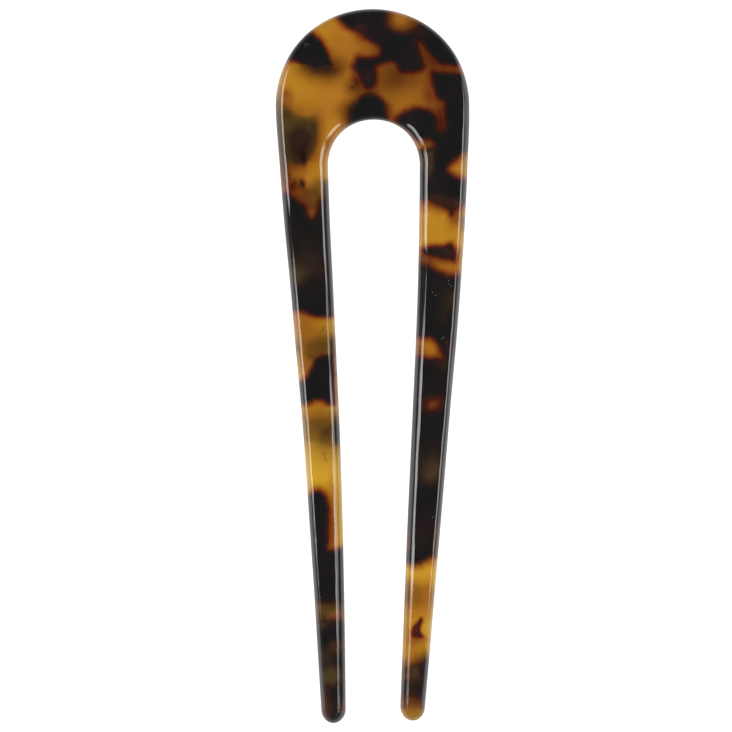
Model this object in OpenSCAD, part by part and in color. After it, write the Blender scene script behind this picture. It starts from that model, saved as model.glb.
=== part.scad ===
// French hair pin: one long U cut from flat sheet, its edges rounded over.
//
// The pin lies on its back. +Y runs from the tips up to the arch, +X is to the
// right, +Z goes up through the sheet, and every length is in millimetres.
// The origin is on the back face, under the middle of the outline.

/* [Sheet] */
// Length from the top of the arch to the end of the longer leg
pin_l = 130; // [115:1:150]
// Thickness of the sheet
sheet_t = 4; // [3.6:0.1:5]

/* [Arch] */
// Radius of the arch's outer edge
arch_outer_r = 17.65; // [16:0.05:20]
// Radius of the arch's inner edge
arch_inner_r = 8.35; // [7.4:0.05:9.4]
// Solid depth at the top of the arch, between its two edges
arch_depth = 20.15; // [16:0.05:24]
// How far the arch's two shoulders stand outside the true circle
arch_shoulder = 0.1; // [0:0.05:0.4]
// How far the two top corners of the gap stand outside the true circle
gap_shoulder = 0.1; // [0:0.05:0.3]

/* [Legs] */
// Width of a leg where its round tip begins
tip_w = 4.5; // [4:0.1:5.2]
// Length of the rounding at the end of a tip
tip_round = 2.6; // [2:0.1:3.5]
// Distance between the middles of the two tips
tip_spread = 14.4; // [12:0.1:18]
// How far both legs bow to the right, half way down
leg_bow = 0.6; // [0:0.05:1]
// How much shorter the right leg is than the left one
right_leg_short = 0.45; // [0:0.05:1.5]

/* [Edges] */
// Width of the rounded band along the outer edge, seen from the front
edge_outer_w = 1.15; // [0.8:0.05:1.3]
// Width of the rounded band along the inner edge, seen from the front
edge_inner_w = 1.5; // [0.8:0.05:1.6]
// Width of the rounded band over the top of the arch, outside and inside
edge_crown_w = 0.9; // [0.8:0.05:1.2]
// Share of the band that is a shallow bevel, next to the flat face
edge_bevel = 0.35; // [0.2:0.05:0.5]
// Slope of that bevel, in degrees
edge_start = 18; // [10:1:24]

/* [Detail] */
// Sections round the arch
arch_steps = 30; // [16:2:40]
// Sections along each leg
leg_steps = 14; // [10:1:24]
// Sections round half of a tip
tip_steps = 6; // [4:1:8]

/* [Hidden] */

// How the legs run from the arch to the tips. One row stands for each tenth of
// the way down, from the arch's centre line to the centres of the tips.
// OUTER and INNER say how far out that edge still is, in percent: 100 is where
// the arch ends and 0 is at the tip. BOW is the share of leg_bow at that row for
// the outer edges, and GAP_BOW is that share for the gap between the legs.
OUTER = 0;
INNER = 1;
BOW = 2;
GAP_BOW = 3;
LEG = [
  [100.0, 100.0,   0,  20],
  [ 93.5,  99.5,  35,  42],
  [ 85.0,  92.0,  65,  64],
  [ 74.0,  80.5,  90,  90],
  [ 63.0,  67.0,  98,  98],
  [ 50.7,  52.0, 100, 100],
  [ 40.0,  38.5,  93,  93],
  [ 29.9,  26.5,  77,  77],
  [ 19.5,  16.5,  60,  60],
  [ 10.0,   7.5,  39,  39],
  [  0.0,   0.0,  15,  15],
];

// How far each side of the top the narrow band runs, in degrees round the arch,
// and the degrees over which it then widens.
CROWN_OUTER = 58;
CROWN_INNER = 20;
CROWN_BLEND = 25;
// The quick turn between the bevel and the steep side: its share of the band's
// width, and its slope in degrees.
TURN_SHARE = 0.13;
TURN_SLOPE = 38;
side_steps = 4;                               // facets of half a steep side

arch_y = pin_l / 2 - arch_outer_r;            // centre of the outer arch
hole_y = pin_l / 2 - arch_depth - arch_inner_r; // centre of the inner arch
tip_y = -pin_l / 2 + tip_round;               // centre of the left tip
run = arch_y - tip_y;                         // length of the legs' table
tip_out = tip_spread / 2 + tip_w / 2;
tip_in = tip_spread / 2 - tip_w / 2;

// Value of a column of the table at a share s of the way down, on a smooth
// curve through the rows, and straight on past the last row.
function cell(i, col) = LEG[i][col] / 100;
function rise(i, col) =
  i == 0 ? (col >= BOW ? cell(1, col) - cell(0, col) : 0) :
  i == len(LEG) - 1 ? cell(i, col) - cell(i - 1, col) :
  (cell(i + 1, col) - cell(i - 1, col)) / 2;
function blend(t, a, b, da, db) =
  a * (1 + 2 * t) * (1 - t) * (1 - t) + b * t * t * (3 - 2 * t) +
  da * t * (1 - t) * (1 - t) - db * t * t * (1 - t);
function share(s, col) =
  let (n = len(LEG) - 1, p = s * n, i = min(n - 1, max(0, floor(p))), t = p - i)
  t > 1 ? cell(n, col) + (t - 1) * rise(n, col) :
  blend(t, cell(i, col), cell(i + 1, col), rise(i, col), rise(i + 1, col));

function bow(y, col = BOW) = leg_bow * share((arch_y - y) / run, col);
// Sideways place of an edge at height y. side is -1 on the left, 1 on the right.
function outer_x(side, y) = bow(y) + side *
  (tip_out + (arch_outer_r - tip_out) * share((arch_y - y) / run, OUTER));
function inner_x(side, y) = bow(y, GAP_BOW) + side *
  (tip_in + (arch_inner_r - tip_in) * share((arch_y - y) / run, INNER));

// A round tip touches both edges of its leg. [centre x, centre y, half width,
// lean of the outer edge, lean of the inner edge]
function tip(side) =
  let (y = side < 0 ? tip_y : tip_y + right_leg_short,
       a = atan(outer_x(side, y + 0.5) - outer_x(side, y - 0.5)) * side,
       b = atan(inner_x(side, y + 0.5) - inner_x(side, y - 0.5)) * side,
       xo = outer_x(side, y) * side, xi = inner_x(side, y) * side,
       x = (xo * cos(a) + xi * cos(b)) / (cos(a) + cos(b)))
  [side * x, y, (xo - x) * cos(a), a, b];

function on_tip(side, angle) = let (t = tip(side))
  [t[0] + side * t[2] * cos(angle), t[1] + tip_round * sin(angle)];

// The outline, from the end of the left tip up and round to the end of the
// right one. Each station pairs a point of the outer edge with one of the inner
// edge, and at the two ends both are the same point.
function tip_outer(side) = let (t = tip(side))
  [for (i = [0 : tip_steps - 1]) on_tip(side, -90 + (90 - t[3]) * i / tip_steps)];
function tip_inner(side) = let (t = tip(side))
  [for (i = [0 : tip_steps - 1]) on_tip(side, -90 - (90 + t[4]) * i / tip_steps)];
function leg_outer(side) = let (t = tip(side), y0 = t[1] - tip_round * sin(t[3]))
  [for (i = [0 : leg_steps - 1]) let (y = y0 + (arch_y - y0) * i / leg_steps)
    [outer_x(side, y), y]];
function leg_inner(side) = let (t = tip(side), y0 = t[1] + tip_round * sin(t[4]))
  [for (i = [0 : leg_steps - 1]) let (y = y0 + (hole_y - y0) * i / leg_steps)
    [inner_x(side, y), y]];
arch_outer = [for (i = [0 : arch_steps])
  let (a = 180 - 180 * i / arch_steps, r = arch_outer_r + arch_shoulder * pow(sin(2 * a), 2))
  [r * cos(a), arch_y + r * sin(a)]];
hole_x = bow(hole_y, GAP_BOW);
arch_inner = [for (i = [0 : arch_steps])
  let (a = 180 - 180 * i / arch_steps, r = arch_inner_r + gap_shoulder * pow(sin(2 * a), 2))
  [hole_x + r * cos(a), hole_y + r * sin(a)]];

function turned(v) = [for (i = [len(v) - 1 : -1 : 0]) v[i]];
outer = concat(tip_outer(-1), leg_outer(-1), arch_outer,
               turned(leg_outer(1)), turned(tip_outer(1)));
inner = concat(tip_inner(-1), leg_inner(-1), arch_inner,
               turned(leg_inner(1)), turned(tip_inner(1)));
stations = len(outer) - 1;                    // pairs, less one
// The closed loop: out along the outer edge, back along the inner one.
loop = [for (q = concat(outer, [for (i = [stations - 1 : -1 : 1]) inner[i]]))
  [min(arch_outer_r, max(-arch_outer_r, q[0])), q[1]]];
count = len(loop);

// Inward direction at a point of the loop, and the width of its rounded band.
function unit(v) = v / norm(v);
function inward(j) =
  let (d = unit(loop[(j + 1) % count] - loop[(j + count - 1) % count]))
  [d[1], -d[0]];
function from_end(j) = min(j, abs(stations - j), count - j);
function eased(t) = let (c = min(1, max(0, t))) c * c * (3 - 2 * c);
function off_top(j) = j <= stations ?
  atan2(abs(loop[j][0]), loop[j][1] - arch_y) - CROWN_OUTER :
  atan2(abs(loop[j][0] - hole_x), loop[j][1] - hole_y) - CROWN_INNER;
// At a tip's end the band is the mean of the two, and no wider than the tip's
// own curve allows.
end_w = min((edge_outer_w + edge_inner_w) / 2,
            0.9 * pow(min(tip(-1)[2], tip(1)[2]), 2) / tip_round);
function band(j) =
  let (leg_w = j <= stations ? edge_outer_w : edge_inner_w,
       w = edge_crown_w + (leg_w - edge_crown_w) * eased(off_top(j) / CROWN_BLEND))
  end_w + (w - end_w) * min(1, from_end(j) / tip_steps);

// A ring of the rounding, front to back, as [how far in, how high]: the bevel,
// which starts above the sheet's face and is trimmed by it, the quick turn, and
// the steep side, an arc that stands upright in the middle of the sheet.
function ring(j) =
  let (p = loop[j], n = inward(j), w = band(j),
       b = w * (1 - edge_bevel), zb = sheet_t - w * edge_bevel * tan(edge_start),
       s = b - w * TURN_SHARE, zs = zb - w * TURN_SHARE * tan(TURN_SLOPE),
       h = zs - sheet_t / 2, r = (s * s + h * h) / (2 * s), sweep = asin(h / r),
       side = [for (i = [0 : side_steps]) let (a = sweep * (1 - i / side_steps))
         [r * (1 - cos(a)), sheet_t / 2 + r * sin(a)]],
       front = concat([[w + 0.1, sheet_t + 0.1 * tan(edge_start)], [b, zb]], side),
       back = [for (i = [len(front) - 2 : -1 : 0]) [front[i][0], sheet_t - front[i][1]]])
  [for (q = concat(front, back)) [p[0] + n[0] * q[0], p[1] + n[1] * q[0], q[1]]];
ring_n = 2 * (side_steps + 3) - 1;

// The loop with its rounding, as one closed skin.
module rounded_loop() {
  skin = [for (j = [0 : count - 1]) each ring(j)];
  function at(j, k) = (j % count) * ring_n + k;
  function pair(i) = (count - i) % count;
  sides = [for (j = [0 : count - 1], k = [0 : ring_n - 2])
    each [[at(j, k), at(j, k + 1), at(j + 1, k)],
          [at(j, k + 1), at(j + 1, k + 1), at(j + 1, k)]]];
  function cap(i, k) = concat(
    i == 0 ? [] : [[at(i, k), at(i + 1, k), at(pair(i), k)]],
    i == stations - 1 ? [] : [[at(i + 1, k), at(pair(i + 1), k), at(pair(i), k)]]);
  front = [for (i = [0 : stations - 1]) each cap(i, 0)];
  back = [for (i = [0 : stations - 1]) each [for (f = cap(i, ring_n - 1)) turned(f)]];
  polyhedron(points = skin, faces = concat(sides, front, back), convexity = 6);
}

// The flat sheet that the pin is cut from.
module sheet() {
  translate([-arch_outer_r - 5, -pin_l / 2 - 5, 0])
    cube([2 * arch_outer_r + 10, pin_l + 10, sheet_t]);
}

module hair_pin() {
  color([0.36, 0.21, 0.08])
    intersection() {
      rounded_loop();
      sheet();
    }
}

hair_pin();
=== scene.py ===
import math

import bpy
import numpy as np
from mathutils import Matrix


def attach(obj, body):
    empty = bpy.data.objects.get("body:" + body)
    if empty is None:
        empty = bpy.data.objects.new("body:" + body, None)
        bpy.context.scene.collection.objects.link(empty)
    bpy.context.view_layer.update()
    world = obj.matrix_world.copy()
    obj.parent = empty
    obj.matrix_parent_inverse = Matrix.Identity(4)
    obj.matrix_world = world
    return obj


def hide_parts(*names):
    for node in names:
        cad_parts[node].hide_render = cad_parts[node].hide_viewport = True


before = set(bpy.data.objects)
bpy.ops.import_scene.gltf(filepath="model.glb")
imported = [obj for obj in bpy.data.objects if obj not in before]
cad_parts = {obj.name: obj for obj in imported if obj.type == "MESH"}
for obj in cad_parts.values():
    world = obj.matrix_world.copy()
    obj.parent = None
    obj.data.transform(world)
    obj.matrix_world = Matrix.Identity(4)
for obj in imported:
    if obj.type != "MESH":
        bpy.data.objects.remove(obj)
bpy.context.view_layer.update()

# ---------------------------------------------------------------- sizes
# Millimetres, the same named sizes as the CAD part.
MM = 0.001
PIN_L = 130.0
SHEET_T = 4.0
ARCH_OUTER_R = 17.65
ARCH_INNER_R = 8.35
ARCH_DEPTH = 20.15
ARCH_SHOULDER = 0.1
GAP_SHOULDER = 0.1
TIP_W = 4.5
TIP_ROUND = 2.6
TIP_SPREAD = 14.4
LEG_BOW = 0.6
RIGHT_LEG_SHORT = 0.45

OUTER, INNER, BOW, GAP_BOW = 0, 1, 2, 3
LEG = np.array([
    [100.0, 100.0, 0, 20], [93.5, 99.5, 35, 42], [85.0, 92.0, 65, 64], [74.0, 80.5, 90, 90],
    [63.0, 67.0, 98, 98], [50.7, 52.0, 100, 100], [40.0, 38.5, 93, 93], [29.9, 26.5, 77, 77],
    [19.5, 16.5, 60, 60], [10.0, 7.5, 39, 39], [0.0, 0.0, 15, 15]]) / 100

ARCH_Y = PIN_L / 2 - ARCH_OUTER_R
HOLE_Y = PIN_L / 2 - ARCH_DEPTH - ARCH_INNER_R
TIP_Y = -PIN_L / 2 + TIP_ROUND
RUN = ARCH_Y - TIP_Y
TIP_OUT = TIP_SPREAD / 2 + TIP_W / 2
TIP_IN = TIP_SPREAD / 2 - TIP_W / 2

# How fine the visual mesh is.
TIP_STEPS = 16
LEG_STEPS = 236
ARCH_STEPS = 128
ACROSS_FRONT = 40
ACROSS_BACK = 16

# ---------------------------------------------------------------- outline


def rise(col):
    c = LEG[:, col]
    d = np.empty(len(c))
    d[1:-1] = (c[2:] - c[:-2]) / 2
    d[0] = c[1] - c[0] if col >= BOW else 0.0
    d[-1] = c[-1] - c[-2]
    return c, d


def share(s, col):
    c, d = rise(col)
    n = len(c) - 1
    p = np.asarray(s, float) * n
    i = np.clip(np.floor(p).astype(int), 0, n - 1)
    t = p - i
    a, b, da, db = c[i], c[i + 1], d[i], d[i + 1]
    inside = (a * (1 + 2 * t) * (1 - t) ** 2 + b * t * t * (3 - 2 * t)
              + da * t * (1 - t) ** 2 - db * t * t * (1 - t))
    return np.where(t > 1, c[n] + (t - 1) * d[n], inside)


def bow(y, col=BOW):
    return LEG_BOW * share((ARCH_Y - y) / RUN, col)


def outer_x(side, y):
    return bow(y) + side * (TIP_OUT + (ARCH_OUTER_R - TIP_OUT) * share((ARCH_Y - y) / RUN, OUTER))


def inner_x(side, y):
    return bow(y, GAP_BOW) + side * (TIP_IN + (ARCH_INNER_R - TIP_IN) * share((ARCH_Y - y) / RUN, INNER))


def tip(side):
    y = TIP_Y if side < 0 else TIP_Y + RIGHT_LEG_SHORT
    a = math.atan(outer_x(side, y + 0.5) - outer_x(side, y - 0.5)) * side
    b = math.atan(inner_x(side, y + 0.5) - inner_x(side, y - 0.5)) * side
    xo, xi = float(outer_x(side, y)) * side, float(inner_x(side, y)) * side
    x = (xo * math.cos(a) + xi * math.cos(b)) / (math.cos(a) + math.cos(b))
    return side * x, y, (xo - x) * math.cos(a), a, b


def on_tip(side, angle):
    t = tip(side)
    return np.stack([t[0] + side * t[2] * np.cos(angle), t[1] + TIP_ROUND * np.sin(angle)], 1)


def half(side):
    """Outer and inner edge of one leg, from the end of its tip up to the arch."""
    t = tip(side)
    f = np.arange(TIP_STEPS) / TIP_STEPS
    g = np.arange(LEG_STEPS) / LEG_STEPS
    quarter = math.pi / 2
    yo = t[1] - TIP_ROUND * math.sin(t[3])
    yi = t[1] + TIP_ROUND * math.sin(t[4])
    yo = yo + (ARCH_Y - yo) * g
    yi = yi + (HOLE_Y - yi) * g
    out = np.vstack([on_tip(side, -quarter + (quarter - t[3]) * f), np.stack([outer_x(side, yo), yo], 1)])
    inn = np.vstack([on_tip(side, -quarter - (quarter + t[4]) * f), np.stack([inner_x(side, yi), yi], 1)])
    return out, inn


lo, li = half(-1)
ro, ri = half(1)
a = math.pi * (1 - np.arange(ARCH_STEPS + 1) / ARCH_STEPS)
r = ARCH_OUTER_R + ARCH_SHOULDER * np.sin(2 * a) ** 2
ao = np.stack([r * np.cos(a), ARCH_Y + r * np.sin(a)], 1)
r = ARCH_INNER_R + GAP_SHOULDER * np.sin(2 * a) ** 2
ai = np.stack([float(bow(HOLE_Y, GAP_BOW)) + r * np.cos(a), HOLE_Y + r * np.sin(a)], 1)
outer = np.vstack([lo, ao, ro[::-1]])
inner = np.vstack([li, ai, ri[::-1]])
LAST = len(outer) - 1
loop = np.vstack([outer, inner[LAST - 1:0:-1]])
loop[:, 0] = np.clip(loop[:, 0], -ARCH_OUTER_R, ARCH_OUTER_R)
COUNT = len(loop)
index = np.arange(COUNT)
is_outer = index <= LAST

d = np.roll(loop, -1, 0) - np.roll(loop, 1, 0)
d /= np.linalg.norm(d, axis=1)[:, None]
inward = np.stack([d[:, 1], -d[:, 0]], 1)
for _ in range(3):
    inward = (np.roll(inward, 1, 0) + 2 * inward + np.roll(inward, -1, 0)) / 4
    inward /= np.linalg.norm(inward, axis=1)[:, None]

# Length along the loop, for the slight unevenness of hand polishing.
step = np.linalg.norm(np.roll(loop, -1, 0) - loop, axis=1)
along = np.concatenate([[0], np.cumsum(step)[:-1]])
total = step.sum()


def wander(seed, pitch):
    """A smooth closed curve of unevenness along the loop, about -1 to 1, pitch millimetres from bump to bump."""
    rng = np.random.RandomState(seed)
    n = max(4, int(total / pitch))
    v = rng.uniform(-1, 1, n)
    p = along / total * n
    i = np.floor(p).astype(int) % n
    t = p - np.floor(p)
    t = t * t * (3 - 2 * t)
    return v[i] * (1 - t) + v[(i + 1) % n] * t


# The chart's units: 1 is 0.182 mm, x to the right and y down, and (372.5,
# 366.15) is the middle of the outline.
UNIT = 0.182124


def chart_xy(x, y):
    return x / UNIT + 372.5, 366.15 - y / UNIT


cx, cy = chart_xy(loop[:, 0], loop[:, 1])
left = loop[:, 0] < 0

# The rounded edge, measured inward from the silhouette in chart units: how far
# the steep side reaches, where the slope has turned onto the bevel, and where the
# bevel meets the flat face; then the bevel's slope there and the steep side's
# slope, in degrees. Where the bevel starts steeply, its bright line is thin or
# doesn't show. One row is a height on the chart: y, steep, turn, wide, start, side.
OUTER_RIGHT = [
    (8, 1.5, 4.2, 5.0, 22, 61), (58, 1.5, 4.2, 4.9, 23, 61), (66, 2.6, 4.0, 4.8, 25, 62), (76, 3.4, 4.3, 4.9, 26, 63),
    (88, 4.3, 5.0, 5.8, 21.5, 64), (94, 4.5, 5.2, 6.1, 19, 65), (100, 4.6, 5.3, 6.2, 18, 65),
    (136, 4.4, 5.2, 6.5, 16, 64),
    (150, 4.2, 5.0, 6.5, 15, 64), (184, 3.9, 4.5, 6.4, 15, 63), (230, 3.8, 4.6, 6.5, 15, 63),
    (240, 3.7, 4.6, 6.5, 19, 63), (250, 3.6, 4.7, 6.4, 20, 63), (258, 3.5, 4.7, 6.2, 27, 63),
    (267, 3.3, 4.8, 6.2, 30, 63),
    (274, 3.3, 4.8, 6.4, 20, 63), (285, 3.2, 4.8, 6.4, 18, 63), (316, 3.1, 4.4, 6.4, 15, 64),
    (345, 3.2, 4.4, 6.1, 15, 64), (357, 3.3, 4.4, 6.1, 16, 65), (364, 3.8, 4.4, 6.1, 14, 67),
    (375, 3.8, 4.4, 6.0, 14, 67), (400, 3.2, 3.9, 5.6, 15, 64), (470, 3.3, 4.1, 5.8, 15, 64),
    (560, 3.1, 4.0, 5.6, 15, 63),
    (600, 3.3, 4.2, 5.6, 18, 63), (640, 3.3, 4.3, 5.6, 22, 63), (680, 3.3, 4.5, 5.7, 26, 62),
    (696, 3.4, 4.8, 5.9, 31, 62), (706, 3.2, 4.8, 6.0, 34, 60), (714, 1.6, 4.6, 6.2, 36, 55),
    (724, 1.3, 4.6, 6.2, 36, 54)]
OUTER_LEFT = [
    (8, 1.5, 4.2, 5.0, 22, 61), (52, 1.6, 4.2, 5.0, 22, 61), (64, 3.2, 4.4, 5.4, 27, 62), (76, 3.8, 4.6, 6.3, 16, 63),
    (88, 4.4, 5.0, 6.8, 20, 64), (100, 5.0, 5.6, 7.4, 19, 65), (112, 5.0, 5.4, 7.4, 16, 65),
    (136, 4.6, 5.1, 7.0, 15, 64), (155, 4.7, 5.3, 7.1, 15, 64), (164, 4.7, 5.3, 7.1, 18, 64),
    (174, 4.7, 5.3, 7.1, 19.5, 64), (182, 4.7, 5.3, 7.1, 16, 63), (196, 4.4, 5.3, 7.2, 15, 62),
    (204, 3.8, 5.5, 7.4, 15, 61), (214, 3.0, 5.6, 7.0, 22, 61), (222, 2.9, 5.0, 6.2, 27, 61),
    (236, 2.6, 5.0, 6.0, 28, 61), (246, 2.8, 5.0, 6.3, 25, 61), (256, 3.1, 5.0, 6.6, 22.5, 62),
    (266, 3.2, 4.5, 6.6, 21, 63), (290, 3.3, 4.5, 6.5, 15, 63), (304, 3.9, 4.4, 6.6, 14, 64),
    (345, 4.0, 4.7, 6.8, 15, 64), (388, 3.7, 4.4, 6.5, 15, 64), (400, 3.2, 3.9, 6.1, 15, 64),
    (440, 3.8, 4.4, 6.4, 15, 64), (485, 3.9, 4.4, 6.2, 15, 64), (500, 3.6, 4.4, 6.1, 15, 63),
    (556, 3.4, 4.2, 5.8, 15, 63), (600, 3.3, 4.4, 5.7, 19, 63), (630, 3.3, 4.6, 5.7, 26, 63),
    (680, 3.3, 4.8, 5.9, 30, 62),
    (700, 3.7, 5.1, 6.1, 33, 62), (711, 3.4, 5.2, 6.4, 34, 60), (724, 1.3, 4.6, 6.2, 36, 54)]
INNER_RIGHT = [
    (118, 1.4, 4.0, 4.7, 22, 61), (124, 1.5, 4.1, 5.0, 22, 61), (128, 2.2, 5.2, 7.4, 20, 60),
    (134, 3.2, 5.6, 8.9, 15, 62), (142, 3.4, 5.5, 8.8, 13, 62),
    (145.5, 3.1, 5.4, 8.7, 26, 62), (149, 3.2, 5.3, 8.6, 31, 62), (152, 3.1, 5.3, 8.4, 27, 61),
    (155, 3.1, 5.3, 8.4, 17, 61), (160, 3.1, 5.2, 8.3, 14, 61), (182, 3.1, 4.9, 7.7, 14, 60),
    (206, 3.4, 5.0, 8.1, 17, 62), (238, 3.5, 5.4, 8.0, 19, 63), (247, 3.2, 6.2, 8.2, 22, 63),
    (254, 2.9, 6.9, 8.3, 33, 63), (264, 2.7, 6.9, 8.3, 33, 62), (270, 2.5, 6.8, 8.3, 25, 62),
    (286, 2.4, 6.8, 8.2, 26, 62), (302, 2.4, 6.8, 8.2, 24, 61), (316, 2.6, 6.7, 8.3, 21, 61),
    (328, 2.9, 6.2, 8.3, 18.5, 62), (340, 3.2, 6.2, 8.2, 22, 64), (357, 3.4, 6.0, 8.2, 22, 64),
    (374, 3.8, 5.5, 8.2, 15, 65),
    (424, 3.6, 5.6, 8.1, 19, 64), (440, 4.1, 5.6, 8.3, 15, 67), (500, 4.1, 5.7, 8.2, 15, 68),
    (545, 4.0, 5.7, 8.2, 16, 67), (580, 3.7, 5.7, 8.2, 20.5, 65),
    (600, 3.8, 5.8, 7.8, 25, 65), (614, 3.8, 5.9, 7.8, 25, 65), (645, 3.7, 6.0, 7.8, 26.5, 64),
    (668, 3.6, 5.8, 7.8, 24.4, 64), (690, 3.5, 5.7, 7.8, 24.2, 64), (702, 3.9, 5.4, 7.6, 24, 63),
    (710, 3.6, 5.2, 7.1, 32, 61), (724, 1.3, 4.6, 6.2, 36, 54)]
INNER_LEFT = [
    (118, 1.4, 4.0, 4.7, 22, 61), (123, 1.5, 4.1, 5.0, 22, 61), (127, 2.2, 5.2, 7.4, 17, 60),
    (134, 3.4, 5.8, 9.0, 16, 62), (139.5, 3.3, 5.7, 8.9, 18, 62), (142, 3.3, 5.7, 8.9, 31, 62),
    (146, 3.2, 5.6, 8.8, 31, 62), (150, 3.3, 5.5, 8.7, 20, 62), (158, 3.4, 5.4, 8.4, 17, 62),
    (182, 3.5, 5.6, 8.0, 16, 62),
    (218, 3.4, 5.7, 7.8, 14, 62), (262, 3.2, 5.7, 7.7, 14, 63), (274, 3.2, 5.7, 7.6, 15, 63),
    (288, 3.1, 5.6, 7.4, 18, 62), (300, 3.0, 5.4, 7.4, 24.4, 62),
    (312, 3.0, 5.4, 7.8, 21, 62), (317, 3.0, 5.5, 7.9, 25.5, 62), (328, 3.0, 5.6, 8.1, 25.3, 62),
    (336, 2.9, 6.0, 8.1, 22, 62), (350, 2.9, 6.3, 8.0, 20, 62), (362, 2.9, 6.5, 7.7, 23.5, 62),
    (371, 3.1, 6.4, 7.7, 22.5, 63), (378, 3.2, 6.3, 7.8, 16, 63), (398, 3.6, 5.9, 8.0, 15, 64),
    (408, 3.4, 5.5, 8.0, 15, 63), (416, 3.4, 5.5, 8.0, 18.5, 63), (430, 3.4, 5.5, 8.0, 21, 63),
    (440, 3.4, 5.5, 8.0, 21.5, 63),
    (455, 3.5, 5.6, 8.1, 23.6, 64), (474, 3.6, 5.7, 8.2, 24.2, 64), (490, 3.6, 5.7, 8.3, 22, 64),
    (508, 3.6, 5.8, 8.6, 22.8, 64), (530, 3.5, 5.6, 8.6, 21, 64), (556, 3.3, 5.5, 8.6, 22.8, 64),
    (575, 3.4, 5.7, 8.6, 23.6, 64),
    (590, 3.5, 5.9, 8.6, 23, 64), (610, 3.4, 6.0, 8.4, 22, 64), (626, 3.3, 6.2, 8.3, 22.5, 63),
    (662, 3.2, 6.2, 8.1, 23.5, 61), (697, 3.1, 5.8, 8.0, 22.5, 61),
    (703, 4.2, 5.7, 8.0, 22.5, 63), (708, 5.3, 6.0, 8.1, 22.5, 66), (714, 5.2, 6.0, 8.0, 23, 66),
    (719, 3.0, 5.2, 7.0, 33, 60), (724, 1.3, 4.6, 6.2, 36, 54)]


def edge_keys(table):
    p = np.array(table, float)
    return np.stack([np.interp(cy, p[:, 0], p[:, i]) for i in range(1, 6)], 1)


keys = np.where(is_outer[:, None],
                np.where(left[:, None], edge_keys(OUTER_LEFT), edge_keys(OUTER_RIGHT)),
                np.where(left[:, None], edge_keys(INNER_LEFT), edge_keys(INNER_RIGHT)))
# Round the end of a tip the outer edge's rounding passes into the inner one's.
for _ in range(60):
    near = np.minimum(np.minimum(index, np.abs(LAST - index)), COUNT - index) < TIP_STEPS + 4
    keys[near] = ((np.roll(keys, 1, 0) + 2 * keys + np.roll(keys, -1, 0)) / 4)[near]
for _ in range(4):
    keys = (np.roll(keys, 1, 0) + 2 * keys + np.roll(keys, -1, 0)) / 4
keys[:, 0] += 0.14 * wander(7, 2.3)
keys[:, 1] += 0.14 * wander(8, 1.9)
keys[:, 2] += 0.22 * wander(5, 3.1) + 0.12 * wander(6, 1.3)
keys[:, 3] += 0.8 * wander(3, 2.6) + 0.5 * wander(4, 1.1)
steep, turn, wide = (keys[:, i:i + 1] * UNIT for i in range(3))
start, steep_slope = keys[:, 3:4], keys[:, 4:5]

# Down from the flat face: the bevel, a quick turn, a steep side, and a small
# arc that ends upright.
TOP_SLOPE = 68.0
turn_slope = np.maximum(26.0, start + 4)
arc = np.radians(np.array([90, 86, 82, 78, 73.5, TOP_SLOPE]))
arc_r = 0.2 * steep / (1 - math.sin(arc[-1]))
inset = [arc_r * (1 - np.sin(arc))[None, :]]
slope = [np.repeat(np.degrees(arc)[None, :], COUNT, 0)]
side = np.array([0.33, 0.46, 0.6, 0.74, 0.87, 1.0])
inset.append(steep * side[None, :])
foot = steep_slope - 8
slope.append(np.where(side <= 0.6, TOP_SLOPE + (steep_slope - TOP_SLOPE) * (side - 0.2) / 0.4,
                      steep_slope + (foot - steep_slope) * (side - 0.6) / 0.4))
bend = np.array([0.2, 0.4, 0.6, 0.8, 1.0])
inset.append(steep + (turn - steep) * bend[None, :])
slope.append(foot + (turn_slope - foot) * bend)
bevel = np.array([0.25, 0.5, 0.75, 0.95, 1.0])
inset.append(turn + (wide - turn) * bevel[None, :])
slope.append(turn_slope + (start - turn_slope) * bevel[None, :])
inset, slope = np.hstack(inset), np.tan(np.radians(np.minimum(np.hstack(slope), 89)))
down = np.zeros_like(inset)
NARC = len(arc)
for k in range(inset.shape[1] - 2, -1, -1):
    if k >= NARC - 1:
        drop = (slope[:, k] + slope[:, k + 1]) / 2 * (inset[:, k + 1] - inset[:, k])
    else:
        drop = arc_r[:, 0] * (math.cos(arc[k + 1]) - math.cos(arc[k]))
    down[:, k] = down[:, k + 1] + drop
# A side that would reach past the middle of the sheet is made to stop there.
room = SHEET_T / 2 - 0.03
down *= np.minimum(1, room / down[:, :1])
width = wide[:, 0]
# ---------------------------------------------------------------- the mesh
# Each point of the loop carries a ring of points, from the flat of the front
# round the edge to the flat of the back.
inset = np.hstack([width[:, None] + 0.30, width[:, None] + 0.02, inset[:, ::-1]])
high = np.hstack([np.full((COUNT, 2), SHEET_T), SHEET_T - down[:, ::-1]])
NP = inset.shape[1]
BACK = [NP - 1, NP - 4, NP - 6, NP - 8, NP - 10, NP - 12, NP - 14, NP - 16, NP - 18, 2, 1, 0]
inset = np.hstack([inset, inset[:, BACK]])
high = np.hstack([high, SHEET_T - high[:, BACK]])
RING = inset.shape[1]
ring = np.empty((COUNT, RING, 3))
ring[:, :, 0] = loop[:, 0:1] + inward[:, 0:1] * inset
ring[:, :, 1] = loop[:, 1:2] + inward[:, 1:2] * inset
ring[:, :, 2] = high
edge = np.clip(1 - inset / width[:, None], 0, 1)

verts = [ring.reshape(-1, 3)]
edges_in = [edge.reshape(-1)]
faces = []
j = np.arange(COUNT)
for k in range(RING - 1):
    a0, a1 = j * RING + k, j * RING + k + 1
    b0, b1 = ((j + 1) % COUNT) * RING + k, ((j + 1) % COUNT) * RING + k + 1
    faces.append(np.stack([a0, a1, b1, b0], 1))

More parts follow.
